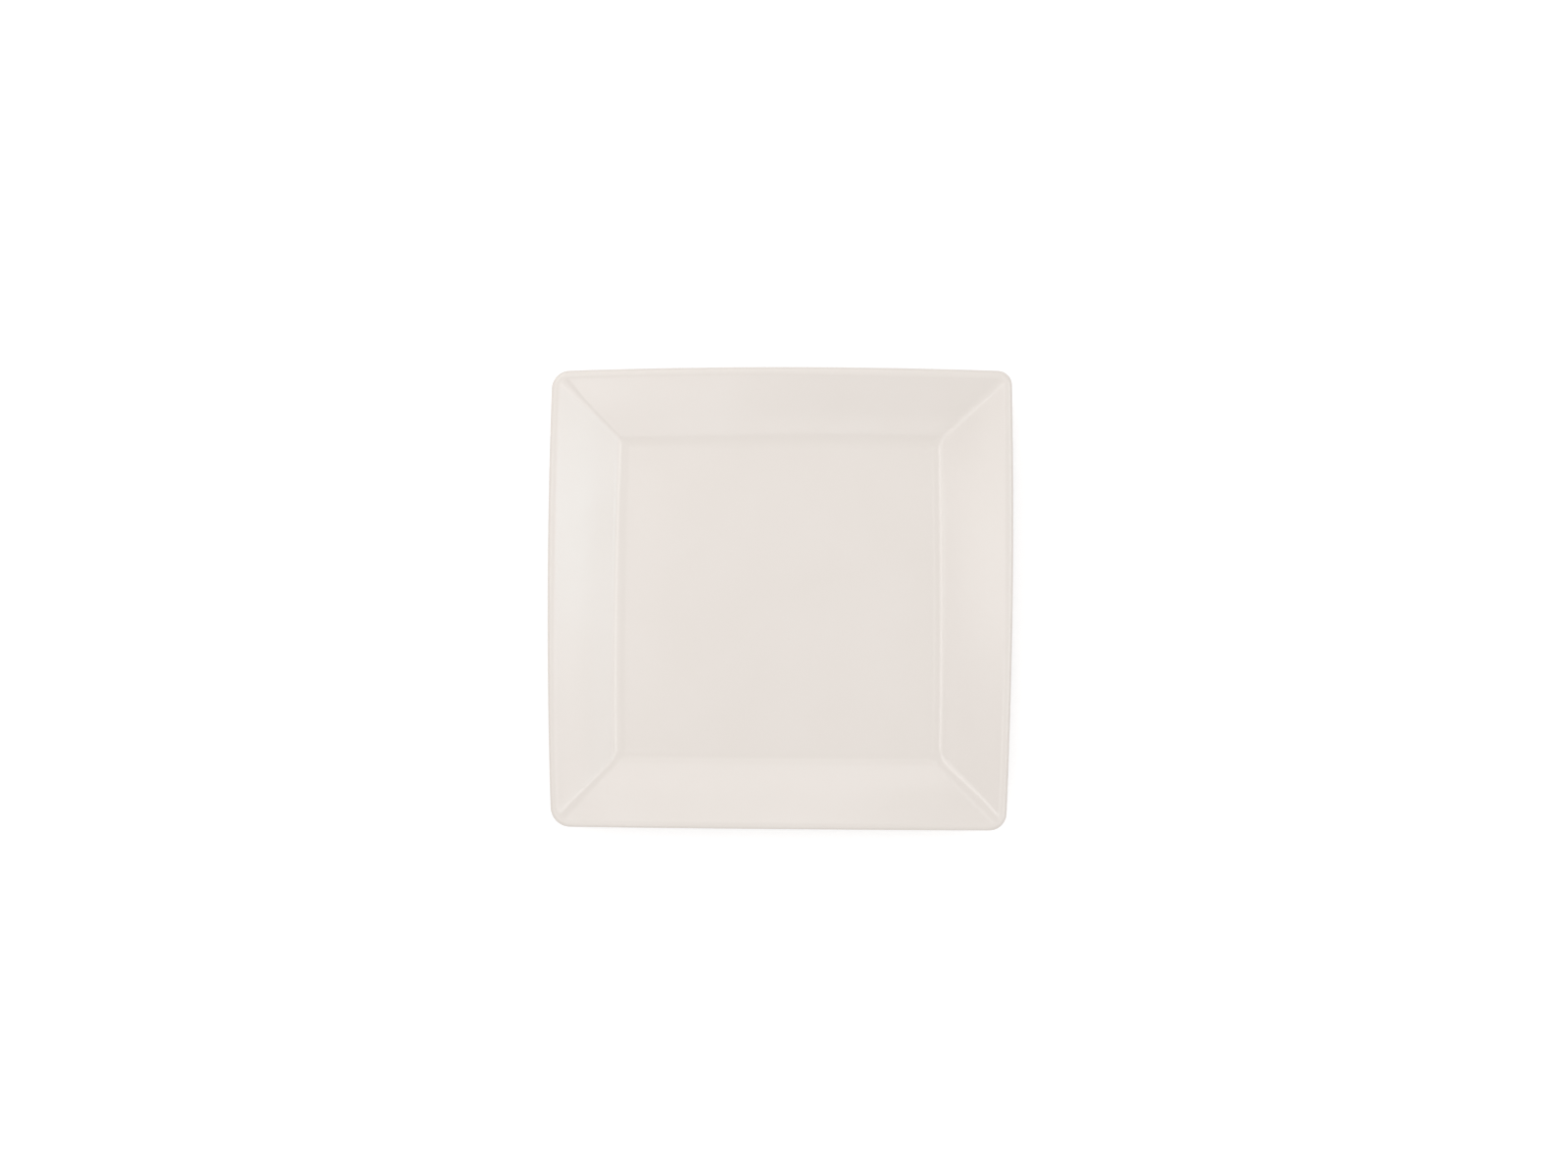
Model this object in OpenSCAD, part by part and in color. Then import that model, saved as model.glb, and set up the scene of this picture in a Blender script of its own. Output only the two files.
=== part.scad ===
// Square dinner plate: one pressed clay body, covered by two fired glaze skins.
// Origin at the middle of the plate, on the table plane. +Z is up, sizes are in millimetres.
// All sizes are those of the finished plate, glaze included, unless a comment says otherwise.

/* [Plate] */
// Width across the middles of two opposite sides
plate_w = 254; // [229:1:305]
// Height of the lip's top above the table
plate_h = 25; // [20:0.5:34]
// Radius of the gentle outward bow of each side, in plan
side_r = 3400; // [1500:50:6000]
// Radius of the plate's four corners, in plan
corner_r = 10; // [6:0.5:20]
// Thickness of the base, and of each rim panel where it leaves the base
wall = 5; // [3.5:0.1:7]

/* [Well] */
// Width of the flat well between the lines where the rim panels rise
well_w = 176; // [150:1:190]
// Radius of the well's four corners, in plan
well_corner_r = 4; // [3:0.5:12]
// Radius of the hollow where the well turns up into a rim panel
valley_r = 20; // [8:1:30]

/* [Lip] */
// Radius of the roll that carries a rim panel's face over to the top of the lip
roll_r = 6; // [3:0.5:12]
// Radius of the lip's round edge
lip_r = 2.2; // [1.8:0.1:4]

/* [Foot] */
// How far the foot's outer edge lies inside the well's edge
foot_inset = 6; // [4:0.5:20]
// Height of the foot ring below the base
foot_h = 3; // [2.5:0.25:5]
// Width of the bare clay foot ring at the table
foot_t = 5; // [3.5:0.25:8]
// Lean of the foot's two walls, in degrees
foot_draft = 15; // [5:1:30]
// Radius of the foot's four outer corners, in plan
foot_corner_r = 10; // [8:0.5:25]
// Radius of the hollow where the foot joins the base
foot_fillet_r = 2; // [1:0.1:2.2]
// Radius of the foot's two bare edges
foot_edge_r = 0.8; // [0.4:0.1:1.2]

/* [Glaze] */
// Thickness of the glaze skins
glaze_t = 0.4; // [0.2:0.05:0.6]

/* [Hidden] */

clay_colour = [0.80, 0.74, 0.66];
glaze_colour = [0.90, 0.87, 0.84];

// Steps along each side and round each corner of a ring, and degrees between rings on the lip's outside
side_steps = 6;
corner_steps = 8;
lip_turn = 18;
// The least corner radius that a ring may have, and the least flat between the foot and the rim's back
least_corner_r = 0.8;
least_flat = 0.3;

// The section is drawn in [h, z]: h is the distance from the plate's middle to the middle of a side.
half_w = plate_w / 2;
floor_z = foot_h + wall;
valley = [well_w / 2, floor_z];
roll = [half_w - lip_r, plate_h - roll_r];
edge = [half_w - lip_r, plate_h - lip_r];

// The rim panel's face starts at the valley and touches the roll, which ends level on top of the lip.
face_slope = bearing(valley, roll) + asin(roll_r / gap(valley, roll));

// The rim panel's back leaves the base below the valley and touches the underside of the lip's edge.
heel = valley + [wall * tan(face_slope / 2), -wall];
back_slope = bearing(heel, edge) - asin(lip_r / gap(heel, edge));

// The foot's walls stand on the table at these distances, as bare clay.
foot_out = well_w / 2 - foot_inset;
foot_in = foot_out - foot_t;
clay_fillet_r = foot_fillet_r + glaze_t;
fillet_z = foot_h - foot_fillet_r;
fillet_shift = (clay_fillet_r + fillet_z * sin(foot_draft)) / cos(foot_draft);
edge_shift = foot_edge_r * (1 - sin(foot_draft)) / cos(foot_draft);

// The bend under the valley runs parallel to the valley's hollow, or as wide as the foot leaves room for.
heel_room = heel[0] - foot_out - fillet_shift - least_flat;
heel_r = min(valley_r + wall, heel_room / tan(back_slope / 2));

// Corner rules, in plan, for the rings of the face and of the back: as far in as the first distance the
// rings run parallel to the plate's outline, and at the second distance the corners have the radius given.
face_plan = [half_w - 2 * lip_r, well_w / 2, well_corner_r];
back_plan = [half_w - lip_r, foot_out, foot_corner_r];

function heading(angle) = [cos(angle), sin(angle)];
function bearing(from, to) = atan2(to[1] - from[1], to[0] - from[0]);
function gap(from, to) = norm(to - from);
function reversed(list) = [for (i = [len(list) - 1 : -1 : 0]) list[i]];
function sweep(from, to, steps) = [for (i = [0 : steps]) from + (to - from) * i / steps];

// One bend of the section: its centre, its radius on bare clay, the angles of its points, and which side
// is air: 1 outside the bend, -1 inside it.
valley_bend = [
    valley + [-valley_r * tan(face_slope / 2), valley_r],
    valley_r + glaze_t,
    sweep(-90, face_slope - 90, 6),
    -1
];
roll_bend = [roll, roll_r - glaze_t, sweep(face_slope + 90, 90, 4), 1];
edge_bend = [
    edge,
    lip_r - glaze_t,
    concat(sweep(90 - lip_turn, 0, 90 / lip_turn - 1), sweep(-lip_turn, back_slope - 90, 3)),
    1
];
heel_bend = [
    heel + [-heel_r * tan(back_slope / 2), heel_r],
    heel_r - glaze_t,
    sweep(back_slope - 90, -90, 4),
    1
];
outer_fillet = [[foot_out + fillet_shift, fillet_z], clay_fillet_r, sweep(90, 180 - foot_draft, 4), -1];
outer_edge = [[foot_out - edge_shift, foot_edge_r], foot_edge_r, sweep(-foot_draft, -90, 3), 1];
inner_edge = [[foot_in + edge_shift, foot_edge_r], foot_edge_r, sweep(-90, foot_draft - 180, 3), 1];
inner_fillet = [[foot_in - fillet_shift, fillet_z], clay_fillet_r, sweep(foot_draft, 90, 4), -1];

// The points of a bend, with a skin of this thickness laid over the clay.
function bend_points(bend, skin) =
    [for (angle = bend[2]) bend[0] + (bend[1] + bend[3] * skin) * heading(angle)];

// The corner radius of the ring at h: parallel to the outline near the lip, then easing to the inner
// radius of the plan, and parallel again inside that.
function ring_corner(h, plan) =
    let (
        lip_h = plan[0],
        inner_h = plan[1],
        inner_r = plan[2],
        outer_r = corner_r - (half_w - lip_h),
        r = h > lip_h ? corner_r - (half_w - h)
            : h > inner_h ? inner_r + (outer_r - inner_r) * (h - inner_h) / (lip_h - inner_h)
            : inner_r - (inner_h - h)
    )
    max(least_corner_r, r);

// One ring round the plate at [h, z]: four bowed sides, joined by corners that touch both their sides.
function ring(point, plan) =
    let (
        h = point[0],
        r = ring_corner(h, plan),
        c = (sqrt(2 * pow(side_r - r, 2) - pow(side_r - h, 2)) - (side_r - h)) / 2,
        turn = asin(c / (side_r - r)),
        side = [for (i = [0 : side_steps - 1])
            [h - side_r, 0] + side_r * heading(turn * (2 * i / side_steps - 1))],
        corner = [for (i = [0 : corner_steps - 1])
            [c, c] + r * heading(turn + (90 - 2 * turn) * i / corner_steps)]
    )
    [for (quarter = [0 : 3], p = concat(side, corner))
        let (s = [0, 1, 0, -1][quarter], k = [1, 0, -1, 0][quarter])
            [k * p[0] - s * p[1], s * p[0] + k * p[1], point[1]]];

// The rings through the points of some bends.
function rings(bends, skin, plan) = [for (bend = bends, p = bend_points(bend, skin)) ring(p, plan)];

// A closed solid through rings that run outwards above and inwards below, flat at both ends. Each four-sided
// facet is split along its shorter diagonal, so that two solids through the same rings meet face to face.
module loft(layers) {
    n = len(layers[0]);
    last = len(layers) - 1;
    points = [for (layer = layers) each layer];
    walls = [for (k = [0 : last - 1], i = [0 : n - 1])
        let (a = k * n + i, b = k * n + (i + 1) % n)
            each gap(points[a], points[b + n]) < gap(points[b], points[a + n])
                ? [[a, b, b + n], [a, b + n, a + n]]
                : [[a, b, a + n], [b, b + n, a + n]]];
    first_cap = [for (i = [n - 1 : -1 : 0]) i];
    last_cap = [for (i = [0 : n - 1]) last * n + i];
    polyhedron(points = points, faces = concat([first_cap], walls, [last_cap]));
}

// What the face glaze covers: the well, the rim panels, the lip, and the back down to the foot.
function glazed_face(skin) =
    concat(
        rings([valley_bend, roll_bend, edge_bend], skin, face_plan),
        rings([heel_bend, outer_fillet], skin, back_plan)
    );

// What the base glaze covers: the base inside the foot ring.
function glazed_base(skin) = rings([inner_fillet], skin, back_plan);

// The pressed and fired body. Only its foot stays bare.
module clay_body() {
    color(clay_colour)
        loft(concat(glazed_face(0), rings([outer_edge, inner_edge], 0, back_plan), glazed_base(0)));
}

// The skin on the eating face, wrapped over the lip and down the back to the foot's outer wall.
module face_glaze() {
    color(glaze_colour)
        loft(concat(glazed_face(glaze_t), reversed(glazed_face(0))));
}

// The skin on the base inside the foot ring.
module base_glaze() {
    color(glaze_colour)
        loft(concat(reversed(glazed_base(0)), glazed_base(glaze_t)));
}

clay_body();
face_glaze();
base_glaze();
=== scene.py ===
import math

import bpy
import numpy as np
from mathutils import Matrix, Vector


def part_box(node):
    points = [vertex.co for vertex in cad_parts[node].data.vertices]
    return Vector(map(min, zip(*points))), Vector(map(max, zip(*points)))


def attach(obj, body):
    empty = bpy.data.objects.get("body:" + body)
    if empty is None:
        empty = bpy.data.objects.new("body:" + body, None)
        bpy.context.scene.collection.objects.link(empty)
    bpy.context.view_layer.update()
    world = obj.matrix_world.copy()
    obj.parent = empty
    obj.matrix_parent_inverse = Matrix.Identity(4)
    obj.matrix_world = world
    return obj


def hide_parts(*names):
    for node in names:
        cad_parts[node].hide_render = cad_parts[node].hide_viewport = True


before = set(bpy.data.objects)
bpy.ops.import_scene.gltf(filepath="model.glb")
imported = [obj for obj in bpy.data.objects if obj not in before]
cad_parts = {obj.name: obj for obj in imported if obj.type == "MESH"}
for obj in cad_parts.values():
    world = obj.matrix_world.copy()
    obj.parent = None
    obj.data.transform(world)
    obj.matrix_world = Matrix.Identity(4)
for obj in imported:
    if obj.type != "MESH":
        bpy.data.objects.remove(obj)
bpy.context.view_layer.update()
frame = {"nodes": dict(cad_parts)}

print("frame loaded:", ", ".join(frame["nodes"]))

mm = 0.001

# The plate's own sizes, as built. Its width and height come from the frame.
plate = {
    "sideRadius": 3400 * mm,      # gentle bow of each side, in plan
    "cornerRadii": np.array([8.0, 10.2, 11.2, 9.8]) * mm,     # at the outer edge, in plan, from right far
    "wall": 5 * mm,
    "wellWidth": 176 * mm,
    "wellCornerRadii": np.array([3.5, 1.6, 4.2, 5.9]) * mm,
    "valleyRadius": 20 * mm,      # hollow where the well turns up into a rim panel
    "rollRadius": 6 * mm,         # where a rim panel's face rolls over to the top of the lip
    "lipRadius": 2.2 * mm,        # round edge of the lip
    "footInset": 6 * mm,
    "footHeight": 3 * mm,
    "footWidth": 5 * mm,
    "footDraft": 15,              # degrees
    "footCornerRadius": 10 * mm,
    "footFilletRadius": 2 * mm,
    "footEdgeRadius": 0.8 * mm,
    "glaze": 0.4 * mm,
    "leastCornerRadius": 0.8 * mm,
    "leastFlat": 0.3 * mm,        # between the foot and the bend of the rim's back
    "bowShare": 60,               # a small ring's side radius, at most, in half widths of the ring
}
low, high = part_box("face_glaze")
plate["halfWidth"] = (high[0] - low[0]) / 2
plate["height"] = high[2]
plate["panelEnd"] = plate["halfWidth"] - 2 * plate["lipRadius"]

# How finely the surfaces are stepped.
grid = {
    "sideSteps": 48,              # along each side of a ring
    "cornerSteps": 26,            # round each corner of a ring
    "run": 1.2 * mm,              # longest step along a straight stretch of the section
    "floorRings": 26,             # across the well, and across the base inside the foot
    "hiddenRings": 6,             # across a disc that another piece covers
    "faceStride": 4,              # where a piece is covered, one ring in so many is kept, on the face
    "backStride": 3,              # and on the back
    "valleySteps": 14,
    "rollSteps": 12,
    "lipSteps": 16,
    "underLipSteps": 9,
    "heelSteps": 10,
    "filletSteps": 12,
    "footEdgeSteps": 8,
}

# How much glaze gathers in the hollows, and how thin it runs on the lip, from 0 to 1.
glazeRun = {"valleyPool": 1.0, "filletPool": 0.8, "mitrePool": 0.8, "lipThin": 1.0}

# How the fired plate departs from true: a sagging well, a slow ripple, and sides that dried unevenly.
firing = {
    "sag": 0.35 * mm,
    "wellShift": (-1.3 * mm, -1.2 * mm),
    "creaseSlants": (2.7 * mm, 3.2 * mm),     # the left and right creases lean in at their far ends
    "swell": 0.25 * mm,           # the rim panels stand proud of flat in their middles
    "swellReach": (86 * mm, 123 * mm),
    "ripple": 0.12 * mm,
    "rippleWaves": [(0.21, 20), (0.14, 75), (0.09, 140)],   # wavelength in metres, heading in degrees
    "left": (-0.28 * mm, -0.48 * mm, 0.0),   # outward shift of a side: at its middle, along it, at both ends
    "right": (-0.10 * mm, 0.91 * mm, 0.14 * mm),
    "far": (-1.25 * mm, 0.81 * mm, 0.06 * mm),
    "near": (-0.83 * mm, 0.34 * mm, 2.03 * mm),
}


def heading(angle):
    return np.array([math.cos(math.radians(angle)), math.sin(math.radians(angle))])


def bearing(start, end):
    return math.degrees(math.atan2(end[1] - start[1], end[0] - start[0]))


# One bend of the section: points on an arc, c + r (cos a, sin a). Each row holds the distance h from the
# plate's middle, the height z, the way out of the clay, and how much glaze pools or thins there.
def bend(centre, clayRadius, fromAngle, toAngle, air, steps, pool=0.0, thin=0.0):
    t = np.linspace(0, 1, steps + 1)
    angle = np.radians(fromAngle + (toAngle - fromAngle) * t)
    ray = np.stack([np.cos(angle), np.sin(angle)], axis=1)
    swell = np.sin(math.pi * t)[:, None]
    return np.hstack([np.asarray(centre) + clayRadius * ray, air * ray, pool * swell, thin * swell])


# Joins bends by straight stretches, each cut into even steps no longer than the grid's run.
def chain(*bends):
    rows = [bends[0]]
    for one in bends[1:]:
        start, end = rows[-1][-1], one[0]
        cuts = int(np.hypot(*(end - start)[:2]) / grid["run"])
        share = (np.arange(1, cuts + 1) / (cuts + 1))[:, None]
        rows += [start + (end - start) * share, one]
    return np.vstack(rows)


# The clay's section, from the well's edge over the lip and down to the foot, by the same tangents and
# radii as the solids: flat well, straight rim panel, roll, round lip, straight back, foot.
def claySection(p):
    half, tilt = p["halfWidth"], p["footDraft"]
    glaze, lip, roll = p["glaze"], p["lipRadius"], p["rollRadius"]
    valley = np.array([p["wellWidth"] / 2, p["footHeight"] + p["wall"]])
    edge = np.array([half - lip, p["height"] - lip])
    over = np.array([half - lip, p["height"] - roll])
    faceSlope = bearing(valley, over) + math.degrees(math.asin(roll / np.hypot(*(over - valley))))
    heel = valley + p["wall"] * np.array([math.tan(math.radians(faceSlope / 2)), -1])
    backSlope = bearing(heel, edge) - math.degrees(math.asin(lip / np.hypot(*(edge - heel))))

    sine, cosine = math.sin(math.radians(tilt)), math.cos(math.radians(tilt))
    footOut = p["wellWidth"] / 2 - p["footInset"]
    footIn = footOut - p["footWidth"]
    footEdge = p["footEdgeRadius"]
    fillet = p["footFilletRadius"] + glaze
    filletHeight = p["footHeight"] - p["footFilletRadius"]
    filletShift = (fillet + filletHeight * sine) / cosine
    edgeShift = footEdge * (1 - sine) / cosine
    halfBack = math.tan(math.radians(backSlope / 2))
    heelRoom = heel[0] - footOut - filletShift - p["leastFlat"]
    heelRadius = min(p["valleyRadius"] + p["wall"], heelRoom / halfBack)
    valleyCentre = valley + p["valleyRadius"] * np.array([-math.tan(math.radians(faceSlope / 2)), 1])
    heelCentre = heel + heelRadius * np.array([-halfBack, 1])

    face = chain(
        bend(
            valleyCentre, p["valleyRadius"] + glaze, -90, faceSlope - 90, -1, grid["valleySteps"],
            pool=glazeRun["valleyPool"],
        ),
        bend(over, roll - glaze, faceSlope + 90, 90, 1, grid["rollSteps"]),
        bend(edge, lip - glaze, 90, 0, 1, grid["lipSteps"], thin=glazeRun["lipThin"])[1:],
        bend(edge, lip - glaze, 0, backSlope - 90, 1, grid["underLipSteps"])[1:],
    )
    back = chain(
        face[-1:],
        bend(heelCentre, heelRadius - glaze, backSlope - 90, -90, 1, grid["heelSteps"]),
        bend(
            [footOut + filletShift, filletHeight], fillet, 90, 180 - tilt, -1, grid["filletSteps"],
            pool=glazeRun["filletPool"],
        ),
    )[1:]
    foot = chain(
        back[-1:],
        bend([footOut - edgeShift, footEdge], footEdge, -tilt, -90, 1, grid["footEdgeSteps"]),
        bend([footIn + edgeShift, footEdge], footEdge, -90, tilt - 180, 1, grid["footEdgeSteps"]),
    )[1:]
    base = chain(
        foot[-1:],
        bend(
            [footIn - filletShift, filletHeight], fillet, tilt, 90, -1, grid["filletSteps"],
            pool=glazeRun["filletPool"],
        ),
    )[1:]
    return face, back, foot, base


# The four plan corner radii of a ring at h: parallel to the outline near the lip, then easing to the inner
# radii, and parallel again inside that.
def ringCorners(h, lipH, innerH, innerRadii):
    h, half, outer = h[:, None], plate["halfWidth"], plate["cornerRadii"]
    edgeRadii = outer - (half - lipH)
    eased = innerRadii + (edgeRadii - innerRadii) * np.clip((h - innerH) / (lipH - innerH), 0, 1) ** 3
    radii = np.where(h > lipH, outer - (half - h), np.where(h > innerH, eased, innerRadii - (innerH - h)))
    return np.maximum(plate["leastCornerRadius"], radii)


def faceCorners(h):
    return ringCorners(h, plate["panelEnd"], plate["wellWidth"] / 2, plate["wellCornerRadii"])


def backCorners(h):
    footOut = plate["wellWidth"] / 2 - plate["footInset"]
    return ringCorners(h, plate["halfWidth"] - plate["lipRadius"], footOut, plate["footCornerRadius"])


# Rings round the plate, one for each section point: four bowed sides, each an arc of the side radius, joined
# by corner arcs that touch both their sides. The second parameter walks round the ring, a quarter turn for
# each side and the corner after it.
def rings(h, z, corners):
    h, corners = h[:, None, None], corners[:, :, None]
    bow = np.minimum(plate["sideRadius"], plate["bowShare"] * h)
    centre = (np.sqrt(2 * (bow - corners) ** 2 - (bow - h) ** 2) - (bow - h)) / 2
    turn = np.arcsin(centre / (bow - corners))
    before = np.roll(turn, 1, axis=1)
    along = -before + (before + turn) * np.linspace(0, 1, grid["sideSteps"], endpoint=False)
    bent = turn + (math.pi / 2 - 2 * turn) * np.linspace(0, 1, grid["cornerSteps"], endpoint=False)
    x = np.concatenate([h - bow + bow * np.cos(along), centre + corners * np.cos(bent)], axis=2)
    y = np.concatenate([bow * np.sin(along), centre + corners * np.sin(bent)], axis=2)
    quarter = np.arange(4)[:, None] * math.pi / 2
    cosine, sine = np.cos(quarter).round(), np.sin(quarter).round()
    x, y = cosine * x - sine * y, sine * x + cosine * y
    x, y = x.reshape(len(z), -1), y.reshape(len(z), -1)
    return np.stack([x, y, np.broadcast_to(z[:, None], x.shape)], axis=2)


# Pooling follows the mitre between two rim panels too: a sine squared over each corner's steps.
def mitre(count):
    steps = grid["cornerSteps"]
    hump = np.sin(math.pi * np.arange(steps) / steps) ** 2
    quarter = np.concatenate([np.zeros(grid["sideSteps"]), hump])
    return np.broadcast_to(np.tile(quarter, 4), (count, 4 * len(quarter)))


# Firing moves every point by a smooth rule of its place, so that clay and glaze keep together: sides shift
# with the square of the distance from the middle, the well shifts and its creases lean, the well sags as a
# dome turned over, the rim panels swell by a sine squared across them, and the ripple is a sum of slow
# sines. The foot stays flat on the table, and nothing rises above the lip.
def fired(points):
    half, foot = plate["halfWidth"], plate["footHeight"]
    u, v = points[..., 0] / half, points[..., 1] / half

    def side(name, reach, along):
        middle, slant, ends = firing[name]
        return np.clip(reach, 0, 1) ** 2 * (middle + slant * along + ends * along ** 2)

    inner = np.clip(1 - u ** 4, 0, 1) * np.clip(1 - v ** 4, 0, 1)
    leanLeft, leanRight = firing["creaseSlants"]
    lean = (leanLeft * np.clip(-u, 0, 1) - leanRight * np.clip(u, 0, 1)) * v
    dx = side("right", u, v) - side("left", -u, -v) + (firing["wellShift"][0] + lean) * inner
    dy = side("far", v, u) - side("near", -v, u) + firing["wellShift"][1] * inner
    wave = sum(
        np.sin(2 * math.pi * (points[..., :2] @ heading(way)) / length)
        for length, way in firing["rippleWaves"]
    ) / len(firing["rippleWaves"])
    dome = np.clip(1 - u ** 2, 0, 1) * np.clip(1 - v ** 2, 0, 1)
    reach = np.maximum(np.abs(points[..., 0]), np.abs(points[..., 1]))
    panelFrom, panelTo = firing["swellReach"]
    share = np.clip((reach - panelFrom) / (panelTo - panelFrom), 0, 1)
    swell = firing["swell"] * np.sin(math.pi * share) ** 2
    dz = swell - firing["sag"] * dome ** 2 - firing["ripple"] * (1 + wave) / 2
    lift = np.clip(points[..., 2] / foot, 0, 1)
    lift = lift ** 2 * (3 - 2 * lift)
    return points + np.stack([dx, dy, dz * lift], axis=-1)


# A closed surface through rings, from a pole above the middle outwards and back in to a pole below it. The
# rings are rows of a grid, so each cell is one four-sided face, and the poles close the two ends.
def loft(name, layers, poles, marks):
    count, around = layers.shape[:2]
    points = fired(np.vstack([[poles[0]], layers.reshape(-1, 3), [poles[1]]]))
    step = np.arange(around)
    after = (step + 1) % around
    row = 1 + around * np.arange(count - 1)[:, None]
    quads = np.stack([row + step, row + around + step, row + around + after, row + after], axis=2)
    last = 1 + around * (count - 1)
    top = np.stack([np.zeros_like(step), 1 + step, 1 + after], axis=1)
    bottom = np.stack([np.full_like(step, len(points) - 1), last + after, last + step], axis=1)
    mesh = bpy.data.meshes.new(name)
    faces = quads.reshape(-1, 4).tolist() + top.tolist() + bottom.tolist()
    mesh.from_pydata(points.tolist(), [], faces)
    mesh.polygons.foreach_set("use_smooth", np.ones(len(mesh.polygons), dtype=bool))
    for label, values in marks.items():
        field = mesh.attributes.new(label, "FLOAT", "POINT")
        field.data.foreach_set("value", np.concatenate([[0], values.ravel(), [0]]).astype(np.float32))
    mesh.update()
    piece = bpy.data.objects.new(name, mesh)
    bpy.context.scene.collection.objects.link(piece)
    print(name, len(mesh.polygons), "faces")
    return piece


# The skin stands off the clay by its thickness, and rolls down to nothing at its edge: an ellipse's end.
def rolledEdge(section, width):
    steps = np.hypot(*np.diff(section[:, :2], axis=0).T)
    left = np.concatenate([np.cumsum(steps[::-1])[::-1], [0]])
    return plate["glaze"] * np.sqrt(np.clip(1 - np.clip(1 - left / width, 0, 1) ** 2, 0, 1))


def skinned(section, thickness):
    return section[:, :2] + section[:, 2:4] * np.reshape(thickness, (-1, 1))


# Rings that carry a flat disc from the middle out to the first ring of a section.
def discRings(h, z, corners, count):
    share = np.linspace(0, 1, count + 1)[1:-1]
    return rings(h * share, np.full(count - 1, z), corners * share[:, None])


face, back, foot, base = claySection(plate)
glazeEdge = {"faceWidth": 0.9 * mm, "baseWidth": 0.9 * mm}


def makeFaceGlaze():
    outerFace, innerFace = skinned(face, plate["glaze"]), skinned(face, 0)
    outerBack, innerBack = skinned(back, rolledEdge(back, glazeEdge["faceWidth"])), skinned(back, 0)
    inside = innerBack[-2::-grid["backStride"]]
    under = innerFace[::-grid["faceStride"]]
    floorTop, floorUnder = outerFace[0], under[-1]
    corners = faceCorners(outerFace[:1, 0])
    layers = [
        discRings(floorTop[0], floorTop[1], corners, grid["floorRings"]),
        rings(outerFace[:, 0], outerFace[:, 1], faceCorners(outerFace[:, 0])),
        rings(outerBack[:, 0], outerBack[:, 1], backCorners(outerBack[:, 0])),
        rings(inside[:, 0], inside[:, 1], backCorners(inside[:, 0])),
        rings(under[:, 0], under[:, 1], faceCorners(under[:, 0])),
    ]
    poles = [[0, 0, floorTop[1]], [0, 0, floorUnder[1]]]
    counts = [len(one) for one in layers]
    around = layers[0].shape[1]
    panel = (face[:, 0] > plate["wellWidth"] / 2) & (face[:, 0] < plate["panelEnd"])
    pool = np.maximum(face[:, 4:5], panel[:, None] * glazeRun["mitrePool"] * mitre(len(face)))
    blank = [np.zeros((count, around)) for count in counts]
    backPool = np.broadcast_to(back[:, 4:5], (len(back), around))
    thin = np.broadcast_to(face[:, 5:6], (len(face), around))
    marks = {
        "pool": np.vstack([blank[0], pool, backPool, blank[3], blank[4]]),
        "thin": np.vstack([blank[0], thin, blank[2], blank[3], blank[4]]),
    }
    return loft("faceGlaze", np.vstack(layers), poles, marks)


def makeBaseGlaze():
    section = base[::-1]                      # from the base's flat out to the foot's inner wall
    outer = skinned(section, rolledEdge(section, glazeEdge["baseWidth"]))[::-1]
    inner = skinned(section, 0)[:-1]
    cornersIn = backCorners(inner[:1, 0])
    flatIn = discRings(inner[0, 0], inner[0, 1], cornersIn, grid["hiddenRings"])
    flatOut = discRings(outer[-1, 0], outer[-1, 1], cornersIn, grid["floorRings"])[::-1]
    layers = [
        flatIn,
        rings(inner[:, 0], inner[:, 1], backCorners(inner[:, 0])),
        rings(outer[:, 0], outer[:, 1], backCorners(outer[:, 0])),
        flatOut,
    ]
    poles = [[0, 0, inner[0, 1]], [0, 0, outer[-1, 1]]]
    counts = [len(one) for one in layers]
    around = layers[0].shape[1]
    blank = [np.zeros((count, around)) for count in counts]
    pool = np.broadcast_to(base[:, 4:5], (len(base), around))
    marks = {
        "pool": np.vstack([blank[0], blank[1], pool, blank[3]]),
        "thin": np.vstack(blank),
    }
    return loft("baseGlaze", np.vstack(layers), poles, marks)


wear = {"height": 0.5 * mm}      # the foot is rubbed this far up from the table


def makeClayBody():
    top = skinned(face, 0)[::grid["faceStride"]]
    under = skinned(back, 0)
    ring = skinned(np.vstack([foot, base]), 0)
    corners = faceCorners(top[:1, 0])
    cornersIn = backCorners(ring[-1:, 0])
    layers = [
        discRings(top[0, 0], top[0, 1], corners, grid["hiddenRings"]),
        rings(top[:, 0], top[:, 1], faceCorners(top[:, 0])),
        rings(under[:, 0], under[:, 1], backCorners(under[:, 0])),
        rings(ring[:, 0], ring[:, 1], backCorners(ring[:, 0])),
        discRings(ring[-1, 0], ring[-1, 1], cornersIn, grid["hiddenRings"])[::-1],
    ]
    poles = [[0, 0, top[0, 1]], [0, 0, ring[-1, 1]]]
    around = layers[0].shape[1]
    touch = np.clip(1 - ring[:, 1] / wear["height"], 0, 1)[:, None]
    blank = [np.zeros((len(one), around)) for one in layers]
    worn = np.broadcast_to(touch, (len(ring), around))
    marks = {"worn": np.vstack([blank[0], blank[1], blank[2], worn, blank[4]])}
    return loft("clayBody", np.vstack(layers), poles, marks)


def newMaterial(name):
    material = bpy.data.materials.new(name)
    material.use_nodes = True
    tree = material.node_tree
    tree.nodes.clear()
    shader = tree.nodes.new("ShaderNodeBsdfPrincipled")
    tree.links.new(shader.outputs["BSDF"], tree.nodes.new("ShaderNodeOutputMaterial").inputs["Surface"])
    return material, tree, shader


def noise(tree, scale, detail):
    node = tree.nodes.new("ShaderNodeTexNoise")
    node.inputs["Scale"].default_value = scale
    node.inputs["Detail"].default_value = detail
    place = tree.nodes.new("ShaderNodeTexCoord")
    tree.links.new(place.outputs["Object"], node.inputs["Vector"])
    return node.outputs["Fac"]


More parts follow.
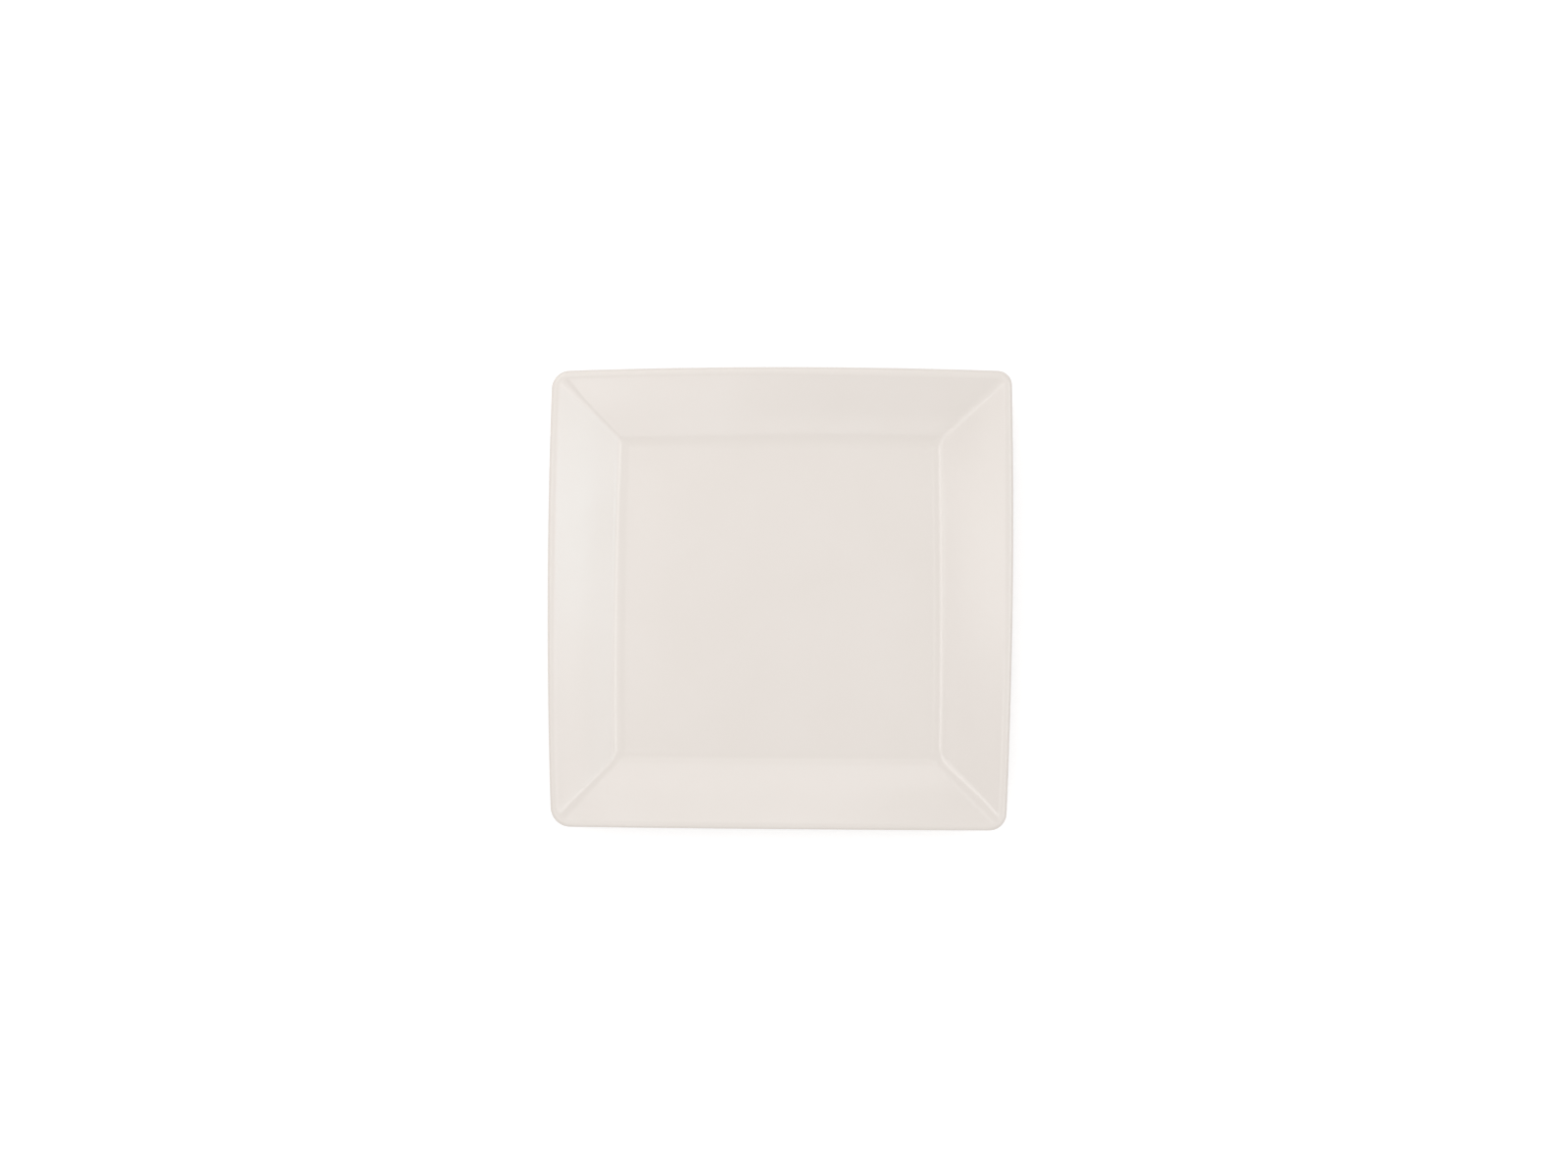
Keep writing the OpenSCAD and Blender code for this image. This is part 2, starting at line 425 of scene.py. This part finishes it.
def spread(tree, value, low, high, toLow, toHigh):
    node = tree.nodes.new("ShaderNodeMapRange")
    for socket, number in zip(("From Min", "From Max", "To Min", "To Max"), (low, high, toLow, toHigh)):
        node.inputs[socket].default_value = number
    tree.links.new(value, node.inputs["Value"])
    return node.outputs["Result"]


def mark(tree, name):
    node = tree.nodes.new("ShaderNodeAttribute")
    node.attribute_name = name
    return node.outputs["Fac"]


# Mixes a fixed colour into a running one by a factor.
def tint(tree, factor, under, colour):
    node = tree.nodes.new("ShaderNodeMix")
    node.data_type = "RGBA"
    tree.links.new(factor, node.inputs["Factor"])
    if isinstance(under, tuple):
        node.inputs["A"].default_value = (*under, 1)
    else:
        tree.links.new(under, node.inputs["A"])
    node.inputs["B"].default_value = (*colour, 1)
    return node.outputs["Result"]


def bump(tree, height, depth, under=None):
    node = tree.nodes.new("ShaderNodeBump")
    node.inputs["Strength"].default_value = 1.0
    node.inputs["Distance"].default_value = depth
    tree.links.new(height, node.inputs["Height"])
    if under is not None:
        tree.links.new(under, node.inputs["Normal"])
    return node.outputs["Normal"]


creamGlazeLook = {
    "cream": (0.786, 0.741, 0.696),
    "pale": (0.796, 0.752, 0.709),        # cloudier patches
    "warm": (0.772, 0.720, 0.664),        # where the clay shows through thin glaze
    "deep": (0.766, 0.720, 0.672),        # where glaze pools
    "roughness": (0.135, 0.145),
    # Noises: scale in waves to the metre and detail, then the stretch of their values that is used
    "cloud": (26, 4),
    "cloudStretch": (0.35, 0.70),
    "fleck": (420, 2),
    "fleckStretch": (0.62, 0.80),
    "sheen": (60, 3),
    "sheenStretch": (0.3, 0.7),
    "orangePeel": (90, 2),
    "orangePeelDepth": 0.02 * mm,
    "pinprick": (700, 2),
    "pinprickDepth": 0.002 * mm,
    # How far flecks, thin places and pools take on their colours
    "fleckShare": 0.25,
    "thinShare": 0.35,
    "poolShare": 0.30,
    "refraction": 1.5,
}


def creamGlaze():
    look = creamGlazeLook
    material, tree, shader = newMaterial("creamGlaze")
    cloud = spread(tree, noise(tree, *look["cloud"]), *look["cloudStretch"], 0, 1)
    colour = tint(tree, cloud, look["cream"], look["pale"])
    fleck = spread(tree, noise(tree, *look["fleck"]), *look["fleckStretch"], 0, look["fleckShare"])
    colour = tint(tree, fleck, colour, look["warm"])
    thin = spread(tree, mark(tree, "thin"), 0, 1, 0, look["thinShare"])
    colour = tint(tree, thin, colour, look["warm"])
    pool = spread(tree, mark(tree, "pool"), 0, 1, 0, look["poolShare"])
    colour = tint(tree, pool, colour, look["deep"])
    tree.links.new(colour, shader.inputs["Base Color"])
    rough = spread(tree, noise(tree, *look["sheen"]), *look["sheenStretch"], *look["roughness"])
    tree.links.new(rough, shader.inputs["Roughness"])
    shader.inputs["IOR"].default_value = look["refraction"]
    peel = bump(tree, noise(tree, *look["orangePeel"]), look["orangePeelDepth"])
    fine = bump(tree, noise(tree, *look["pinprick"]), look["pinprickDepth"], peel)
    tree.links.new(fine, shader.inputs["Normal"])
    return material


firedClayLook = {
    "clay": (0.66, 0.58, 0.47),
    "light": (0.74, 0.68, 0.58),
    "grog": (0.42, 0.34, 0.26),           # darker grains in the body
    "rubbed": (0.58, 0.53, 0.47),         # where the foot has slid on tables
    "roughness": (0.72, 0.92),
    # Noises: scale in waves to the metre and detail, then the stretch of their values that is used
    "patch": (180, 5),
    "patchStretch": (0.35, 0.70),
    "grain": (1500, 1),
    "grainStretch": (0.64, 0.70),
    "sheen": (900, 3),
    "sheenStretch": (0.3, 0.7),
    "tooth": (1800, 3),
    "toothDepth": 0.05 * mm,
    # How far grains and rubbed places take on their colours
    "grogShare": 0.8,
    "rubbedShare": 0.5,
}


def firedClay():
    look = firedClayLook
    material, tree, shader = newMaterial("firedClay")
    patch = spread(tree, noise(tree, *look["patch"]), *look["patchStretch"], 0, 1)
    colour = tint(tree, patch, look["clay"], look["light"])
    grain = spread(tree, noise(tree, *look["grain"]), *look["grainStretch"], 0, look["grogShare"])
    colour = tint(tree, grain, colour, look["grog"])
    worn = spread(tree, mark(tree, "worn"), 0, 1, 0, look["rubbedShare"])
    colour = tint(tree, worn, colour, look["rubbed"])
    tree.links.new(colour, shader.inputs["Base Color"])
    rough = spread(tree, noise(tree, *look["sheen"]), *look["sheenStretch"], *look["roughness"])
    tree.links.new(rough, shader.inputs["Roughness"])
    tooth = bump(tree, noise(tree, *look["tooth"]), look["toothDepth"])
    tree.links.new(tooth, shader.inputs["Normal"])
    return material


glazeFinish, clayFinish = creamGlaze(), firedClay()
assembly = [
    (makeFaceGlaze(), "face_glaze", "cream_glaze", glazeFinish),
    (makeBaseGlaze(), "base_glaze", "cream_glaze", glazeFinish),
    (makeClayBody(), "clay_body", "fired_clay", clayFinish),
]
for piece, node, slotName, finish in assembly:
    piece.data.materials.append(finish)
    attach(piece, "root")
    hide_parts(node)
print("plate made")

# A pale studio floor, wide enough to reach the white of the room.
stage = {
    "radius": 6.0,
    "drop": 0.02 * mm,                    # the floor lies this far below the foot
    "paint": (0.72, 0.72, 0.72),
    "nearGlow": 0.46,                     # white added for the camera near the plate, and far from it
    "farGlow": 1.0,
    "glowFrom": 0.30,
    "glowTo": 0.95,
    "rings": 24,
    "around": 96,
}


# A flat disc on polar steps: r grows as the square of the ring's number, so the steps are finer by the plate.
def makeFloor():
    r = stage["radius"] * np.linspace(0, 1, stage["rings"] + 1)[1:] ** 2
    around = stage["around"]
    step = np.arange(around)
    way = 2 * math.pi * step / around
    x, y = np.outer(r, np.cos(way)), np.outer(r, np.sin(way))
    points = np.stack([x, y, np.full_like(x, -stage["drop"])], axis=2)
    after = (step + 1) % around
    row = around * np.arange(len(r) - 1)[:, None]
    quads = np.stack([row + step, row + around + step, row + around + after, row + after], axis=2)
    mesh = bpy.data.meshes.new("studioFloor")
    mesh.from_pydata(points.reshape(-1, 3).tolist(), [], quads.reshape(-1, 4).tolist() + [step.tolist()])
    piece = bpy.data.objects.new("studioFloor", mesh)
    bpy.context.scene.collection.objects.link(piece)
    return piece


# White to the camera and in reflections, by a glow that grows away from the plate, so the shadow stays.
def floorPaint():
    material = bpy.data.materials.new("floorPaint")
    material.use_nodes = True
    tree = material.node_tree
    tree.nodes.clear()
    new, link = tree.nodes.new, tree.links.new
    paint, glow, both = new("ShaderNodeBsdfDiffuse"), new("ShaderNodeEmission"), new("ShaderNodeAddShader")
    paint.inputs["Color"].default_value = (*stage["paint"], 1)
    path, place, distance = new("ShaderNodeLightPath"), new("ShaderNodeTexCoord"), new("ShaderNodeVectorMath")
    distance.operation = "LENGTH"
    link(place.outputs["Object"], distance.inputs[0])
    reach, levels = (stage["glowFrom"], stage["glowTo"]), (stage["nearGlow"], stage["farGlow"])
    level = spread(tree, distance.outputs["Value"], *reach, *levels)
    seen = path.outputs["Is Camera Ray"]
    for ray in ("Is Glossy Ray", "Is Transmission Ray"):
        either = new("ShaderNodeMath")
        either.operation = "MAXIMUM"
        link(seen, either.inputs[0])
        link(path.outputs[ray], either.inputs[1])
        seen = either.outputs["Value"]
    shown = new("ShaderNodeMath")
    shown.operation = "MULTIPLY"
    link(seen, shown.inputs[0])
    link(level, shown.inputs[1])
    link(shown.outputs["Value"], glow.inputs["Strength"])
    link(paint.outputs["BSDF"], both.inputs[0])
    link(glow.outputs["Emission"], both.inputs[1])
    link(both.outputs["Shader"], new("ShaderNodeOutputMaterial").inputs["Surface"])
    return material


floor = makeFloor()
floor.data.materials.append(floorPaint())
print("floor made")

# Soft boxes: place, size across and along or up, brightness, and tint. Those of the ceiling face straight
# down, and the others face the plate. The cool ones give the left rim panel its greyer white.
coolWhite, coolerWhite, coldWhite = (0.94, 1.02, 1.06), (0.92, 1.02, 1.06), (0.85, 1.05, 1.12)
warmWhite = (1.02, 0.99, 0.99)
softBoxes = {
    "key": {"at": (-0.39, 0.55, 0.7), "size": (0.23, 0.5), "level": 3.6, "ceiling": True},
    "leftStrip": {"at": (-0.86, 0.18, 1.4), "size": (0.22, 0.84), "level": 2.8, "ceiling": True},
    "leftStripOuter": {"at": (-1.08, 0.15, 1.4), "size": (0.22, 0.9), "level": 0.85, "ceiling": True},
    "leftStripNear": {"at": (-0.78, -0.65, 1.4), "size": (0.46, 0.7), "level": 1.57, "ceiling": True},
    "rightStripInner": {"at": (0.5, -0.17, 1.4), "size": (0.32, 0.43), "level": 0.7, "ceiling": True},
    "rightStrip": {"at": (0.82, 0.05, 1.4), "size": (0.26, 0.9), "level": 2.9, "ceiling": True},
    "rightStripOuter": {"at": (1.05, 0.05, 1.4), "size": (0.2, 0.9), "level": 0.6, "ceiling": True},
    "rightCorner": {"at": (0.62, -0.55, 1.4), "size": (0.3, 0.3), "level": 1.45, "ceiling": True},
    "overheadFar": {"at": (-0.06, 1.0, 1.4), "size": (0.4, 1.0), "level": 0.9, "ceiling": True},
    "overheadLeft": {"at": (-0.2, 0.0, 1.4), "size": (0.13, 0.26), "level": 0.93, "ceiling": True},
    "rightHighFar": {"at": (1.51, 0.24, 1.6), "size": (0.18, 0.3), "level": 1.5, "tint": coolWhite},
    "rightHigh": {"at": (1.51, 0.06, 1.6), "size": (0.18, 0.3), "level": 2.9, "tint": coldWhite},
    "rightHighNear": {"at": (1.51, -0.11, 1.6), "size": (0.16, 0.3), "level": 2.1, "tint": warmWhite},
    "rightMid": {"at": (1.71, 0.1, 1.34), "size": (0.62, 0.3), "level": 2.2, "tint": coolerWhite},
    "leftHigh": {"at": (-1.51, 0.04, 1.6), "size": (0.2, 0.3), "level": 1.7},
    "leftMid": {"at": (-1.71, 0.02, 1.34), "size": (0.7, 0.3), "level": 0.8},
    "nearHighLeft": {"at": (-0.27, -1.51, 1.6), "size": (0.18, 0.3), "level": 2.5},
    "nearHigh": {"at": (-0.09, -1.51, 1.6), "size": (0.18, 0.3), "level": 1.0},
    "nearMid": {"at": (0.0, -1.71, 1.34), "size": (0.7, 0.3), "level": 1.55},
    "farMid": {"at": (0.0, 1.69, 1.36), "size": (0.7, 0.34), "level": 1.4},
}
room = {"colour": (1.02, 0.998, 0.992), "level": 0.653}


def lightUp():
    for name, box in softBoxes.items():
        lamp = bpy.data.lights.new(name, "AREA")
        lamp.shape = "RECTANGLE"
        lamp.size, lamp.size_y = box["size"]
        lamp.energy = box["level"] * math.pi * lamp.size * lamp.size_y
        lamp.color = box.get("tint", (1.0, 1.0, 1.0))
        stand = bpy.data.objects.new(name, lamp)
        stand.location = box["at"]
        if not box.get("ceiling"):
            stand.rotation_euler = (-Vector(box["at"])).to_track_quat("-Z", "Y").to_euler()
        stand.visible_camera = False
        bpy.context.scene.collection.objects.link(stand)
    world = bpy.data.worlds.new("room")
    bpy.context.scene.world = world
    world.use_nodes = True
    tree = world.node_tree
    air = tree.nodes["Background"]
    air.inputs["Color"].default_value = (*room["colour"], 1)
    seen = tree.nodes.new("ShaderNodeLightPath").outputs["Is Camera Ray"]
    tree.links.new(spread(tree, seen, 0, 1, room["level"], 1.0), air.inputs["Strength"])


lightUp()

# The camera looks straight down. The plate's middle lies a little left of and below the picture's middle.
shot = {
    "distance": 1.6,                      # from the lip's widest line
    "picture": (1600, 1200),
    "pixel": 0.5343 * mm,                 # one picture point, at the lip's widest line
    "plateAt": (796, 610),                # the plate's middle in the picture
    "roll": 0.36,                         # degrees
    "sensor": 36.0,                       # millimetres
}


def setCamera():
    lens = bpy.data.cameras.new("camera")
    lens.sensor_fit = "HORIZONTAL"
    lens.sensor_width = shot["sensor"]
    lens.lens = shot["sensor"] * shot["distance"] / (shot["picture"][0] * shot["pixel"])
    camera = bpy.data.objects.new("camera", lens)
    right = (shot["picture"][0] / 2 - shot["plateAt"][0]) * shot["pixel"]
    up = (shot["plateAt"][1] - shot["picture"][1] / 2) * shot["pixel"]
    turn = math.radians(shot["roll"])
    camera.location = (
        right * math.cos(turn) - up * math.sin(turn),
        right * math.sin(turn) + up * math.cos(turn),
        shot["distance"] + plate["height"] - plate["lipRadius"],
    )
    camera.rotation_euler = (0, 0, turn)
    bpy.context.scene.collection.objects.link(camera)
    bpy.context.scene.camera = camera


setCamera()
bpy.context.scene.view_settings.view_transform = "Standard"
print("lights and camera set")
